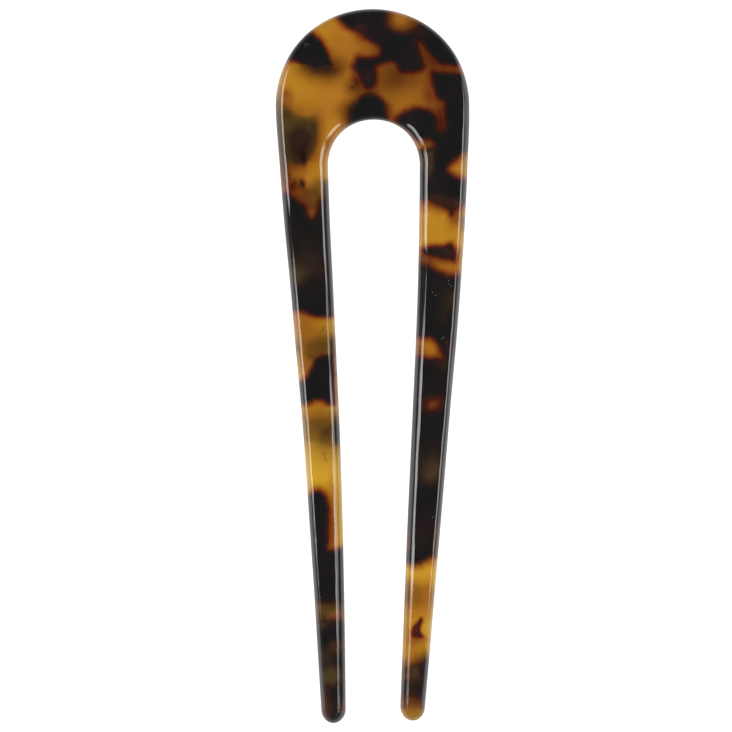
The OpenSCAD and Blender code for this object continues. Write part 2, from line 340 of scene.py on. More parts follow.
# The flat faces, as rows from the outer edge across to the inner one.
base = COUNT * RING
rows = np.arange(1, LAST)
triangles = []
for k, flip, across in ((0, False, ACROSS_FRONT), (RING - 1, True, ACROSS_BACK)):
    t = np.arange(1, across) / across
    pair = (COUNT - rows) % COUNT
    pa, pb = ring[rows, k], ring[pair, k]
    grid = pa[:, None, :] * (1 - t)[None, :, None] + pb[:, None, :] * t[None, :, None]
    verts.append(grid.reshape(-1, 3))
    edges_in.append(np.zeros(grid.shape[0] * grid.shape[1]))
    ids = np.hstack([(rows * RING + k)[:, None],
                     base + np.arange(grid.shape[0] * grid.shape[1]).reshape(grid.shape[:2]),
                     (pair * RING + k)[:, None]])
    base += grid.shape[0] * grid.shape[1]
    q = np.stack([ids[:-1, :-1], ids[1:, :-1], ids[1:, 1:], ids[:-1, 1:]], -1).reshape(-1, 4)
    faces.append(q[:, ::-1] if flip else q)
    for end, row in ((k, ids[0]), (LAST * RING + k, ids[-1][::-1])):
        tri = np.stack([np.full(across, end), row[:-1], row[1:]], 1)
        triangles.append(tri[:, ::-1] if flip else tri)

verts = np.vstack(verts)
edge_value = np.concatenate(edges_in)
quads = np.vstack(faces)
tris = np.vstack(triangles)

mesh = bpy.data.meshes.new("hair_pin_polished")
mesh.from_pydata((verts * MM).tolist(), [], quads.tolist() + tris.tolist())
mesh.validate()
mesh.update()
mesh.shade_smooth()
pin = bpy.data.objects.new("hair_pin_polished", mesh)
bpy.context.scene.collection.objects.link(pin)

# ---------------------------------------------------------------- the mottling
# Tortoiseshell mottling, charted as blotches. Each blotch is how soft
# its edge is, how red that edge is from 0 brown to 1 red, and its outline.
DARK = [
    # arch, left
    (0.95, 1.0, [(268, 64), (275, 40), (300, 22), (311, 33), (315, 36.5), (319, 39.5), (322, 42.5), (323.5, 46.7),
                 (326.3, 51.7),
                 (328.5, 56.7), (330, 61), (332.4, 65.5), (331, 67), (326, 67), (318, 67), (310, 67), (304, 65.3),
                 (300, 63.2),
                 (296, 61), (290, 60)]),
    (2.4, 0.0, [(304, 61), (318, 58), (327, 62), (332, 67), (335, 71.5), (329, 73), (322, 73), (313, 72), (306, 68)]),
    # arch, top and right
    (1.0, 0.9, [(332, 5), (336, 14.5), (340.3, 20.5), (343.5, 23.5), (347.7, 26.7), (352.5, 29.5), (358, 32),
                 (363, 35.5), (367, 38.5),
                (371, 41), (375, 43), (378, 45.5), (381, 50), (381, 54), (379, 57.5), (370, 58.5), (362, 58), (358, 58),
                (356, 62), (354, 66), (354.5, 70), (358, 73), (360, 77), (361, 81), (364, 85), (367, 88), (371, 88),
                (374, 85), (375.5, 82), (375.5, 76), (375, 70), (375.5, 66), (380, 64), (386, 62), (391, 61), (395, 62),
                (398, 66), (399.6, 71), (402, 72.7), (412, 72.8), (418, 71), (423, 68), (424, 65), (421, 60), (419, 54),
                (418, 48), (416.5, 43), (420.3, 42.2), (425, 46.6), (429.4, 52.6), (434.3, 58.7), (438.5, 63),
                (443, 64.8), (450, 65.2),
                (462, 65), (480, 66), (480, 20), (440, 5)]),
    # arch, right, and down the right leg
    (1.05, 0.8, [(432.5, 73), (440, 73.5), (450, 74), (458, 75.3), (480, 76.6), (480, 150), (463, 152), (460, 155),
                 (457, 159), (453, 161.5), (449, 164.5), (447, 168), (447, 171), (449, 174), (454, 176.5), (460, 180),
                 (480, 184), (480, 203), (462, 204), (458, 206), (455, 209), (453, 212), (451.5, 214.8), (450, 211.4),
                 (447, 209), (441, 206.5), (435, 203.5), (429, 200), (410, 200), (410, 152), (424, 152), (431, 151.5),
                 (434, 148), (434, 142.5), (431, 140.5), (424, 139.4), (419, 138.8), (413, 137.6), (398, 125),
                 (396, 121), (400, 116),
                 (406, 112), (413, 110), (421, 109.8), (427, 111), (431, 113), (434, 116.5), (436, 121), (437, 128),
                 (438.5, 132), (442.5, 132), (446, 128), (445.6, 122), (445, 112), (445.4, 105), (444, 101), (440, 99),
                 (436, 95), (434, 89), (432.5, 83)]),
    # crown of the inner arch
    (1.05, 0.5, [(351, 132), (351, 118), (353, 111), (355, 105), (358, 100), (362, 96.5), (366, 95), (371, 94.5),
                 (376, 95.5), (380, 98), (383, 102), (385, 107), (386, 112), (387, 119), (390, 124), (390, 132)]),
    (1.7, 0.1, [(349, 132), (348.5, 118), (349.3, 109.5), (354.5, 102.5), (360, 100), (366, 105), (366, 130)]),
    # left leg, from its top down
    (1.0, 0.8, [(270, 194), (286, 194.5), (291, 197), (296, 200), (300.6, 204), (303.4, 207), (304.6, 212),
                 (306.6, 216.2),
                (309.5, 219), (312, 220.5), (315, 218.5), (318, 213), (320, 207), (322, 202), (345, 200), (345, 318),
                (334, 314), (330, 316), (322, 317.3), (316, 316.6), (310, 314.4), (305, 312.1), (298, 310.6),
                (275, 311.5)]),
    (1.0, 0.8, [(350, 374), (333, 374), (333, 355.5), (329, 354.8), (322, 355.4), (318, 358), (315, 362), (312, 367),
                (309, 372), (307, 377), (303, 382), (290, 384), (290, 404), (306, 403.8), (311, 402.3), (314.5, 400.3),
                (320, 400), (324, 402), (328, 403.5), (334, 404), (334, 378), (350, 376)]),
    (0.95, 0.9, [(300, 495.5), (311, 494.5), (314.5, 491.2), (318, 490.5), (321, 491.5), (324, 494), (326, 498),
                 (327.5, 504),
                 (328.5, 510), (328.5, 518), (328, 525), (327.5, 532), (327, 540), (326.5, 546), (328, 550),
                 (334, 550.7),
                 (350, 548.5), (350, 609), (300, 609)]),
    (1.2, 0.2, [(300, 613), (350, 613), (350, 730), (300, 730)]),
    # right leg, from its top down
    (0.85, 0.9, [(423, 250.3), (426, 248.2), (431, 247.2), (438, 247.2), (444, 246.5), (448, 245), (451, 244.5),
                 (452.5, 247),
                 (454.6, 251), (454.8, 257), (454, 261), (451, 260), (446, 258.5), (440, 257), (434, 256), (428, 255),
                 (424, 253)]),
    (1.15, 0.7, [(405, 265), (421, 265), (427, 266), (431, 268.5), (436, 271), (441, 273), (447, 275.5), (453, 276),
                 (475, 276), (475, 562), (441, 554.3), (434, 554.8), (430, 556.7), (425.5, 560.3), (420, 563.3),
                 (414, 564), (409, 562),
                 (400, 560.5)]),
    (0.5, 1.0, [(421.2, 618.4), (421.5, 620.3), (420.4, 623.5), (419.4, 627.5), (419.5, 630.5), (420.9, 633.5),
                 (423.4, 636.8), (419, 637),
                (415, 636.5), (412, 634.5), (411.8, 630.5), (413.4, 627.5), (415.6, 624.8), (418.8, 621.3),
                (420.4, 619)]),
    (1.8, 0.1, [(400, 669), (407, 668), (412, 666.4), (417, 664), (420, 661.5), (423, 659), (427, 656.5), (450, 656.5),
                (450, 698), (422, 699), (416, 696), (409, 694.5), (400, 695)]),
]
# Clear islands in the dark parts, with the same numbers first.
CLEAR = [
    (1.5, 0.2, [(388, 3), (387, 14), (386.5, 20), (388.6, 27), (394, 31), (402, 32.6), (410, 31.8), (416, 28.5),
                 (421, 24), (424, 14),
           (420, 3)]),
    (0.9, 0.9, [(405, 337.5), (420, 337.3), (426, 337), (431, 337), (434, 339), (437, 343), (440, 348), (443, 353),
                 (445, 359),
           (441, 360), (434, 359.3), (426, 358.4), (418, 358.2), (405, 358)]),
    (1.2, 0.3, [(416, 141.5), (425, 141), (427.4, 143), (427.4, 149), (425.5, 151.5), (416, 151.5)]),
    (1.6, 0.9, [(425.4, 401), (428.6, 399), (433, 398.3), (441, 397.5), (441, 405), (437.5, 408.5), (433, 411.3),
                 (429.5, 412),
                (426.5, 409.5)]),
    (1.0, 0.6, [(335, 374), (350, 374), (350, 416), (335, 416)]),
    (1.3, 0.1, [(300, 601), (350, 601), (350, 620), (336, 620.5), (328, 621.5), (300, 621)]),
    (1.2, 0.5, [(436, 524), (450, 520), (450, 560), (433, 558)]),
    (1.2, 0.5, [(400, 524), (408.6, 524), (409, 549), (400, 550)]),
]
# Brown haze over the clear parts: how dark it is, how soft its edge is, how red,
# and its outline.
SMOKE = [
    (-2.1, 3.2, 0.0, [(303, 418), (312, 416), (340, 415), (340, 446.5), (326, 448.5), (314, 446), (306, 443),
    (303, 438)]),
    (-2.9, 2.6, 0.0, [(309, 343), (312, 337), (318, 333.5), (340, 333), (340, 370), (318, 370), (312, 361),
    (307, 356)]),
]
# Red-brown stains and small dark marks: middle x and y, reach in x and y, turn
# in degrees, how dark the middle is, how fast it fades, and for some how red.
STAIN = [
    (327.5, 431.5, 8, 9, 0, 0.1, 1.7, 0.0), (319, 428, 10, 7, 0, -0.8, 1.5, 0.0),
    (326, 347, 10, 10, 0, -1.7, 1.2, 0.0), (322, 356, 9, 6, 0, -1.4, 1.4, 0.2),
    (320, 320.5, 14, 3.5, 0, -4.2, 1.9, 1.0), (441, 126, 5, 6, 0, -0.9, 2.0), (396, 78, 9, 10, 0, -2.8, 1.3, 0.0),
    (304, 159, 2.4, 6, 0, -0.2, 2.6, 1.0), (310, 157, 5, 6, 10, -2.8, 1.8, 0.6),
    (297, 163, 6, 5, 0, -2.2, 1.8, 0.4), (288.5, 178, 3, 5, 0, -2.8, 1.8, 0.7), (284, 168, 5, 9, 0, -2.2, 1.8, 0.5),
    (300, 112, 10, 5, 0, -3.8, 1.4, 0.1), (430, 94, 4, 6, 0, -2.6, 1.8, 0.9),
    (357, 82, 6, 8, 15, -1.0, 2.7), (352.5, 88, 3.2, 2.5, 0, -0.3, 3.5), (286, 94, 3, 3.5, 10, -3.8, 3.0),
    (293, 187, 3.5, 6, 20, -0.3, 3.0), (302.5, 184, 2.2, 3.8, -20, 2.2, 4.2), (299, 187, 9, 5, 0, -2.6, 3.0, 0.9),
    (333.5, 415, 3.5, 4, 0, -3.0, 2.0, 1.0),
    (289, 176, 3.0, 9, 0, -1.8, 2.5), (294, 196, 9, 4, 20, -2.4, 3.0),
    (431, 60, 5, 15, -35, -2.2, 2.2), (443, 69, 12, 3.2, 0, -2.8, 2.5), (440, 118, 4, 9, 0, -1.9, 2.2),
    (441, 122, 5, 8, 0, -1.0, 2.6), (427, 78, 5, 16, 0, -5.0, 2.0), (452, 220, 5, 7, 0, -4.0, 2.2),
    (439, 359, 8, 3, 0, -2.4, 2.5), (424, 260, 5, 5, 0, -2.6, 2.2), (332, 527, 3, 26, 0, -3.6, 2.0),
    (318, 638, 10, 3, 0, -6.0, 2.0),
    (315.5, 132, 3.0, 13, 0, -2.3, 2.4), (418, 640, 7, 3.5, 0, -3.4, 2.0), (373, 51, 8, 5, 20, -4.2, 2.0),
    (449.5, 256, 4.3, 5, 0, -0.8, 2.8), (323, 410, 12, 6, 0, -6.0, 2.0),
]
# Places where the dark thins to red-brown: the same, where the number is the
# least darkness. The three at (324.5, 706), (342.5, 708) and (332, 311) lie on the
# rounded edges and lighten them there as painted light.
EMBER = [
    (324.5, 706, 3.5, 12, 0, -0.2, 1.6), (342.5, 708, 3, 6, 0, 0.5, 1.8), (332, 311, 3, 4.5, 0, 0.5, 1.8),
    (405, 675, 4, 5, 0, -0.8, 1.6),
    (416, 630, 3.2, 5.5, 12, -0.3, 1.6),
    (453, 204, 6, 6, 20, 0.5, 2.2), (437, 200, 8, 4, 15, 1.1, 1.8), (450, 254, 7, 5, 5, 1.5, 1.8),
    (420, 32, 10, 6, 35, 1.1, 2.0),
    (320, 272, 8, 9, 0, 1.9, 2.0), (444, 316, 7, 12, 0, 2.4, 2.0), (338, 646, 6, 5, -35, 0.3, 2.0),
    (448, 347, 4, 8, 0, 1.0, 2.0), (443, 365, 6, 6, 0, 1.4, 1.8), (368, 78, 5, 8, 0, 1.6, 2.0),
    (440, 133, 4, 5, 0, 1.2, 2.0), (418, 678, 5, 8, 0, 1.4, 1.6), (362, 29, 8, 5, 35, 1.6, 2.0),
    (327, 530, 3, 20, 0, 1.6, 2.0), (412.3, 631, 2.0, 3.5, 0, -1.4, 1.9),
]
# How golden the clear parts are, 0 brown to 1 bright gold, as soft patches:
# middle x and y, reach in x and y, and the tone.
TONE = [
    (320, 32, 12, 9, 0.70), (345, 45, 14, 12, 0.56), (300, 78, 16, 12, 0.76), (333, 92, 18, 14, 0.62),
    (341, 64.5, 6, 5, 0.34),
    (310, 104, 14, 8, 0.70), (366, 48, 9, 6, 0.42), (361, 39.5, 5, 3.5, 0.22), (378, 52, 4, 6, 0.28),
    (382, 74, 6, 9, 0.28),
    (396, 78, 9, 10, 0.20), (399, 20, 7, 7, 0.50), (412, 22, 5, 6, 0.24), (427, 56, 6, 12, 0.16),
    (447, 69, 12, 3, 0.24), (415, 80, 9, 6, 0.30), (402, 97, 14, 9, 0.52), (424, 99, 8, 12, 0.36),
    (439, 108, 6, 8, 0.20), (441, 125, 4, 8, 0.10), (358, 80, 4, 6, 0.20), (364, 91, 10, 4, 0.12),
    (343, 111, 7, 7, 0.34), (324, 74, 9, 3, 0.50), (388, 110, 4, 8, 0.24),
    (315, 172, 10, 8, 0.72), (319, 157, 6, 7, 0.60), (298, 173, 8, 6, 0.46), (318, 130, 5, 12, 0.40),
    (289, 160, 6, 8, 0.16),
    (292, 190, 6, 8, 0.20), (311, 202, 5, 6, -0.04), (312, 215, 4, 5, 0.12), (434, 563, 5, 4.5, 0.95),
    (422.5, 354, 3, 5, 0.32),
    (339, 122, 4, 5, 0.66), (347, 87, 4, 5, 0.40), (458, 255, 4, 4, 0.5), (389, 16, 3.5, 8, 0.30),
    (416, 143, 4, 5, 0.88), (326, 409, 4, 4, 0.95), (438, 212, 4, 4, 0.55), (334, 150, 8, 22, 0.72),
    (288, 100, 4, 8, 0.30),
    (305, 325, 9, 7, 0.54), (322, 327, 8, 6, 0.84), (306, 365, 5, 8, 0.76), (305.5, 342, 5, 7, 0.68),
    (320, 405, 9, 4, 0.72), (320, 411, 9, 4, 0.74), (319, 457, 12, 10, 1.06), (320, 474, 12, 9, 1.0),
    (322, 488, 11, 4, 0.72), (332, 520, 4, 26, 0.34), (340, 500, 5, 60, 0.85), (331, 606, 6, 5, 0.0),
    (337, 616, 7, 4, 0.22), (333, 470, 5, 22, 1.0),
    (425, 145, 5, 3, 0.34), (457, 168, 8, 6, 0.62), (436, 206, 10, 4, 0.42), (436, 222, 12, 8, 0.78),
    (448, 234, 12, 7, 0.76), (455, 215, 4, 8, 0.30), (436, 260, 12, 4, 0.26), (448, 267, 10, 5, 0.58),
    (430, 346, 8, 6, 0.54), (441, 356, 4, 4, 0.24), (434, 403, 8, 5, 0.20), (465, 166, 3, 6, 0.85),
    (420, 573, 10, 8, 0.96),
    (416, 596, 6, 12, 0.42), (427, 598, 4, 12, 0.50), (421, 612, 10, 5, 0.68), (418, 646, 9, 7, 0.60),
    (410, 655, 6, 7, 0.60), (413, 713, 9, 5, 0.86), (411, 705, 6, 4, 0.30), (420, 703, 4, 4, 0.14),
    (436, 536, 4, 14, 0.10), (424, 649, 5, 6, 0.90), (425, 626, 4, 10, 0.92), (416, 620, 4, 4, 0.8),
]
# Olive-brown clouds deeper in the sheet: middle x and y, reach in x and y, turn
# in degrees, and strength.
CLOUD = [
    (299.5, 140, 12.5, 14, 0, 0.40), (298, 153, 8, 8, 0, 0.16), (284, 122, 5, 10, 0, 0.06), (313, 148, 4, 5, 0, 0.1),
    (318, 191, 8, 13, 0, 0.50), (318, 150, 4, 6, 0, 0.12), (304, 346, 6, 8, 0, 0.2), (284, 106, 4, 5, 0, 0.25),
    (430, 161, 5, 14, 0, 0.85), (417, 596, 6, 13, 0, 0.2),
    (413, 713, 9, 6, 0, 0.32), (412, 703, 8, 4, 0, 0.35), (402, 703, 4, 6, 0, 0.5),
    (416, 670, 9, 8, 0, 0.3),
]
# The same as outlines, with the strength and the softness first.
CLOUD_SHAPE = [
    (0.34, 2.4, [(309, 342), (317, 335.5), (340, 335), (340, 370), (316, 370), (306, 358), (306, 352)]),
    (0.26, 2.6, [(306, 422), (316, 417.5), (340, 417), (340, 448), (326, 446.5), (312, 442), (306, 440)]),
    (0.66, 1.9, [(300, 598), (350, 598), (350, 610), (338, 611), (331, 614), (328, 618), (327, 624), (300, 624)]),
    (0.62, 2.6, [(278, 108), (290, 110), (297, 115), (305, 117), (313, 117), (315.5, 120.5), (317.6, 127), (317, 136),
                 (315, 146), (313, 153), (309, 159), (305, 164), (300, 165), (292, 163), (284, 168), (278, 168)]),
]
# Places where the dark thins to olive or brown: the same as CLOUD. The two at (332, 310) and (423, 163) lie on the
# rounded inner edge and lighten it there as painted light.
VEIL = [
    (297, 275, 10, 10, -10, 0.38), (309, 266, 22, 13, 0, 0.31), (309, 247, 13, 12, 0, 0.2), (446, 296, 8, 14, 0, 0.22),
    (443, 316, 8, 10, 0, 0.2), (430, 469, 10, 14, 20, 0.5), (437, 472, 5, 8, 0, 0.2), (431, 478, 8, 8, 0, 0.2),
    (331, 676, 11, 9, 0, 0.85),
    (334, 646, 7, 7, 0, 0.4), (331, 710, 10, 13, 0, 0.36), (325, 654, 6, 7, 0, 0.35), (443, 362, 5, 10, 0, 0.35),
    (430, 151, 4, 3, 0, 0.45),
    (414, 671, 6, 7, 0, 0.8), (412, 686, 5, 9, 0, 0.3), (404, 668, 4, 6, 0, 0.5), (420, 540, 8, 14, 0, 0.2),
    (436, 198, 10, 5, 0, 0.35), (458, 206, 4, 5, 0, 0.4), (332, 310, 3, 5, 0, 0.4), (417, 455, 5, 15, 0, 0.25),
    (450, 204, 8, 5, 0, 0.3), (441, 127, 7, 7, 0, 0.3), (320, 624, 8, 5, 0, 0.5), (433, 403, 11, 7, 0, 0.62),
    (333, 665, 8, 10, 0, 0.25), (432, 455, 10, 20, 0, 0.15), (429.5, 162, 4.5, 16, 0, 0.66), (423, 163, 3, 10, 0, 0.5),
    (442, 252, 14, 6, 0, 0.3), (320, 612, 10, 12, 0, 0.4), (293, 279, 8, 8, 0, 0.35), (453, 300, 6, 9, 0, 0.25),
    (421, 700, 5, 6, 0, 0.5),
]
# Places with a pinkish cast: the same as CLOUD. Many lie on the rounded edges, where they lighten the band as painted
# light, standing in for light passing through and reflected in the edge; the others are pinkish tints of the sheet
# itself.
BLUSH_AND_PAINTED_LIGHT = [
    (339, 615.5, 8, 3.5, -5, 0.75), (337, 646, 5, 4.5, -35, 0.6), (424, 260, 5, 5, 0, 0.55),
    (325, 707, 3, 10, 0, 0.6), (402, 702, 4, 5, 0, 0.6), (342.5, 707, 3, 7, 0, 0.4), (332, 311, 3, 5, 0, 0.8),
    (290, 59, 5, 4, 0, 0.3), (423, 702, 4, 5, 0, 0.5), (411, 704, 7, 4, 0, 0.2),
    (303, 367, 5, 7, 0, 0.4), (304, 341, 4, 6, 0, 0.2), (458, 206, 4, 4, 0, 0.5), (283, 170, 4, 9, 0, 0.5),
    (318, 605, 6, 5, 0, 0.3),
    (434, 562, 4, 4, 0, 0.35), (312, 216, 3, 4, 0, 0.4), (416, 142.5, 5, 6, 0, 0.8), (408, 522, 3, 12, 0, 0.6),
    (458, 535, 5, 20, 0, 0.45), (405, 540, 5, 11, 0, 0.5), (431, 405, 7, 5, 0, 0.35), (463, 65, 4, 4, 0, 0.7),
    (418, 643, 7, 4, 0, 0.05), (302, 200, 6, 6, 0, 0.2),
]
# How much more golden the clear parts are under the rounded band of each edge,
# and how much olive cloud lies there: height on the chart and strength. Both are
# partly the sheet's own colour and partly painted light and shade: the golden lift
# stands in for light passing through the thin edge, and the browner or more clouded
# stretches are painted shade on the edge.
BAND_TONE_AND_PAINTED_LIGHT = {
    "outer left": [(60, 0), (67, -0.15), (76, -0.15), (84, 0), (158, 0), (166, -0.25), (176, -0.25), (184, 0),
    (324, 0), (332, 0.18), (345, 0.18), (360, 0.12), (374, 0.15),
                   (380, 0)],
    "outer right": [(640, 0), (646, 0.2), (656, 0.2), (662, 0), (708, 0), (716, -0.15)],
    "inner right": [(136, 0), (141, 0.12), (147, 0.0), (198, 0), (206, -0.12), (234, -0.12), (242, 0), (340, 0),
    (346, -0.32), (356, -0.32), (362, 0), (588, 0), (597, -0.15), (608, -0.15), (617, 0),
                    (628, 0), (638, 0.1), (652, 0.1), (662, 0), (697, 0), (703, -0.1), (716, -0.15)],
    "inner left": [(128, 0), (133, -0.1), (139, -0.3), (151, -0.3), (160, 0), (318, 0), (322, 0.35), (329, 0.35),
    (336, 0), (450, 0), (458, 0.15), (482, 0.15), (492, 0)],
}
BAND_CLOUD_AND_PAINTED_SHADE = {
    "outer left": [(80, 0), (87, 0.25), (96, 0.30), (110, 0.60), (125, 0.80), (150, 0.80), (163, 0.7), (172, 0.58),
                   (184, 0.30), (194, 0.10), (200, 0), (330, 0), (340, 0.25), (348, 0.45), (357, 0.2), (363, 0),
                   (410, 0),
                   (419, 0.2), (438, 0.25), (447, 0.1), (455, 0), (598, 0), (603, 0.55), (616, 0.5), (621, 0)],
    "outer right": [(148, 0.25), (160, 0.32), (178, 0.15), (184, 0), (213, 0), (219, 0.45), (230, 0.35), (238, 0),
                    (586, 0), (594, 0.25), (606, 0.15), (612, 0), (694, 0), (699, 0.4), (707, 0.35), (712, 0.3),
                    (718, 0.25)],
    "inner right": [(148, 0), (152, 0.6), (172, 0.6), (176, 0), (572, 0), (582, 0.32), (598, 0.36), (606, 0.1),
    (612, 0),
                    (690, 0), (695, 0.45), (704, 0.4), (711, 0.25), (717, 0.25)],
    "inner left": [(175, 0), (184, 0.72), (200, 0.85), (206, 0.6), (212, 0), (333, 0), (340, 0.55), (353, 0.55),
                   (357, 0.3), (361, 0), (411, 0), (419, 0.5), (430, 0.85), (440, 0.8), (447, 0.2), (452, 0),
                   (598, 0), (602, 0.7),
                   (611, 0.62), (616, 0.2), (620, 0)],
}


def inside_distance(x, y, outline):
    """Distance from the outline, positive inside it."""
    p = np.array(outline, float)
    q = np.roll(p, -1, 0)
    best = np.full(x.shape, 1e9)
    wind = np.zeros(x.shape, bool)
    for (x0, y0), (x1, y1) in zip(p, q):
        ex, ey = x1 - x0, y1 - y0
        t = np.clip(((x - x0) * ex + (y - y0) * ey) / (ex * ex + ey * ey + 1e-12), 0, 1)
        best = np.minimum(best, (x - x0 - t * ex) ** 2 + (y - y0 - t * ey) ** 2)
        crosses = ((y0 > y) != (y1 > y))
        with np.errstate(divide="ignore", invalid="ignore"):
            at = x0 + (y - y0) * ex / (ey if ey != 0 else 1e-12)
        wind ^= crosses & (x < at)
    return np.where(wind, 1, -1) * np.sqrt(best)


def spot(x, y, mx, my, rx, ry, turn):
    c, s = math.cos(math.radians(turn)), math.sin(math.radians(turn))
    u, v = ((x - mx) * c + (y - my) * s) / rx, (-(x - mx) * s + (y - my) * c) / ry
    return u * u + v * v


def soft(q):
    """1 in the middle of a spot, 0.5 at its reach, falling to 0."""
    return 1 / (1 + np.minimum(q, 60) ** 2)


def mottling(p):
    """The chart's values at points in millimetres. The blotches lean as they go down through the sheet."""
    x, y = chart_xy(p[:, 0], p[:, 1])
    deep = (SHEET_T - p[:, 2]) / SHEET_T
    deep = deep * np.clip(deep * 2.2, 0, 1)
    x = x + deep * (4.0 * np.sin(y * 0.061 + 0.6) + 2.5 * np.sin(x * 0.13 + y * 0.023))
    y = y + deep * (6.0 * np.sin(y * 0.037 + x * 0.05 + 2.1) + 3.0 * np.sin(x * 0.11 + 1.0))
    ink = np.full(x.shape, -9.0)
    red = np.full(x.shape, 0.5)
    ragged = np.full(x.shape, 0.3)
    for softness, redness, outline in DARK:
        level = inside_distance(x, y, outline) / softness
        red = np.where(level > ink, redness, red)
        ragged = np.where(level > ink, min(1.0, 1.2 / softness), ragged)
        ink = np.maximum(ink, level)
    for softness, redness, outline in CLEAR:
        level = -inside_distance(x, y, outline) / softness
        red = np.where(level < ink, redness, red)
        ragged = np.where(level < ink, min(1.0, 1.2 / softness), ragged)
        ink = np.minimum(ink, level)
    for peak, softness, redness, outline in SMOKE:
        level = (peak + 8) / (1 + np.exp(-np.clip(inside_distance(x, y, outline) / softness * 1.6, -30, 30))) - 8
        red = np.where(level > ink, redness, red)
        ragged = np.where(level > ink, 0.3, ragged)
        ink = np.maximum(ink, level)
    for mx, my, rx, ry, turn, peak, fall, *redness in STAIN:
        q = np.sqrt(spot(x, y, mx, my, rx, ry, turn))
        level = peak - fall * q * q / (0.4 + q)
        ragged = np.where(level > ink, 0.3 if redness and redness[0] == 0 else 0.7, ragged)
        if redness:
            red = np.where(level > ink, redness[0], red)
        ink = np.maximum(ink, level)
    for mx, my, rx, ry, turn, least, climb in EMBER:
        q = np.sqrt(spot(x, y, mx, my, rx, ry, turn))
        ink = np.minimum(ink, least + climb * q * q / (0.4 + q))
    weight = np.full(x.shape, 1e-5)
    tone = weight * 0.5
    for mx, my, rx, ry, value in TONE:
        w = np.exp(-np.minimum(spot(x, y, mx, my, rx, ry, 0), 40) * 0.7) + 1e-9
        weight = weight + w
        tone = tone + w * value
    tone = tone / weight
    cloud = np.zeros(x.shape)
    for value, softness, outline in CLOUD_SHAPE:
        cloud = np.maximum(cloud, value / (1 + np.exp(-np.clip(inside_distance(x, y, outline) / softness * 1.6, -30, 30))))
    for mx, my, rx, ry, turn, value in CLOUD:
        cloud = cloud + value * soft(spot(x, y, mx, my, rx, ry, turn))
    veil = np.zeros(x.shape)
    for mx, my, rx, ry, turn, value in VEIL:
        veil = veil + value * soft(spot(x, y, mx, my, rx, ry, turn))
    blush = np.zeros(x.shape)
    for mx, my, rx, ry, turn, value in BLUSH_AND_PAINTED_LIGHT:
        blush = blush + value * soft(spot(x, y, mx, my, rx, ry, turn))
    return np.clip(ink, -9, 5), tone, np.clip(cloud, 0, 1), np.clip(veil, 0, 1), red, np.clip(blush, 0, 1), ragged


ink, tone, cloud, veil, red, blush, ragged = mottling(verts)

# The band of the point's own edge, by the side it is on and the nearest edge.
under, golden = np.zeros(COUNT), np.zeros(COUNT)
for name, mine in (("outer left", is_outer & left), ("outer right", is_outer & ~left),
                   ("inner left", ~is_outer & left), ("inner right", ~is_outer & ~left)):
    rows_of = np.array(BAND_CLOUD_AND_PAINTED_SHADE[name], float)
    under = np.where(mine, np.interp(cy, rows_of[:, 0], rows_of[:, 1], left=0), under)
    rows_of = np.array(BAND_TONE_AND_PAINTED_LIGHT[name], float)
    golden = np.where(mine, np.interp(cy, rows_of[:, 0], rows_of[:, 1]), golden)
# The band's extra tone and cloud: partly the sheet's own colour, partly painted light and painted shade on the rounded
# edge.
on_band = np.clip(edge.reshape(-1) * 2.5, 0, 1)
cloud[:COUNT * RING] = np.maximum(cloud[:COUNT * RING], np.repeat(under, RING) * on_band)
tone[:COUNT * RING] += np.repeat(golden, RING) * on_band
for name, values in (("ink", ink), ("tone", tone), ("cloud", cloud), ("veil", veil), ("red", red), ("blush", blush),
                     ("ragged", ragged), ("rim", edge_value)):
    layer = mesh.attributes.new(name, "FLOAT", "POINT")
    layer.data.foreach_set("value", values.astype(np.float32))

# ---------------------------------------------------------------- material


def linear(c):
    c = c / 255
    return c / 12.92 if c <= 0.04045 else ((c + 0.055) / 1.055) ** 2.4


LIGHT = 1.15     # how much brighter the lit surface is than its own colour
GLOSS = 0.0045   # what the gloss adds on the flat face


def seen(r, g, b):
    """The colour of the material that looks like this one once it is lit."""
    return [max(0.0012, (linear(c) - GLOSS) / LIGHT) for c in (r, g, b)] + [1.0]


mat = bpy.data.materials.new("tortoiseshell")
mat.use_nodes = True
tree = mat.node_tree
tree.nodes.clear()


def node(kind, **values):
    n = tree.nodes.new(kind)
    for k, v in values.items():
        if k.startswith("in_"):
            n.inputs[k[3:]].default_value = v
        else:
            setattr(n, k, v)
    return n


def link(a, b):
    tree.links.new(a, b)


def attribute(name):
    return node("ShaderNodeAttribute", attribute_name=name).outputs["Fac"]


def maths(operation, a, b=None):
    n = node("ShaderNodeMath", operation=operation)
    for i, v in enumerate((a, b)):
        if v is None:
            continue
        if isinstance(v, (int, float)):
            n.inputs[i].default_value = v
        else:
            link(v, n.inputs[i])
    return n.outputs[0]


def spread(value, low, high):
    n = node("ShaderNodeMapRange")
    n.inputs["From Min"].default_value = low
    n.inputs["From Max"].default_value = high
    link(value, n.inputs["Value"])
    return n.outputs["Result"]


def ramp(value, low, high, stops):
    """Colours or greys along a value that runs from low to high."""
    n = node("ShaderNodeValToRGB")
    r = n.color_ramp
    while len(r.elements) > 1:
        r.elements.remove(r.elements[-1])
    for i, (at, colour) in enumerate(stops):
        p = (at - low) / (high - low)
        e = r.elements[0] if i == 0 else r.elements.new(p)
        e.position = p
        e.color = colour if isinstance(colour, list) else [colour, colour, colour, 1.0]
    link(spread(value, low, high), n.inputs["Fac"])
    return n.outputs["Color"]


def mix(fac, a, b):
    n = node("ShaderNodeMix", data_type="RGBA")
    link(fac, n.inputs[0])
    link(a, n.inputs[6])
    link(b, n.inputs[7])
    return n.outputs[2]


def blend(kind, a, b):
    n = node("ShaderNodeMix", data_type="RGBA", blend_type=kind, in_Factor=1.0)
    link(a, n.inputs[6])
    link(b, n.inputs[7])
    return n.outputs[2]


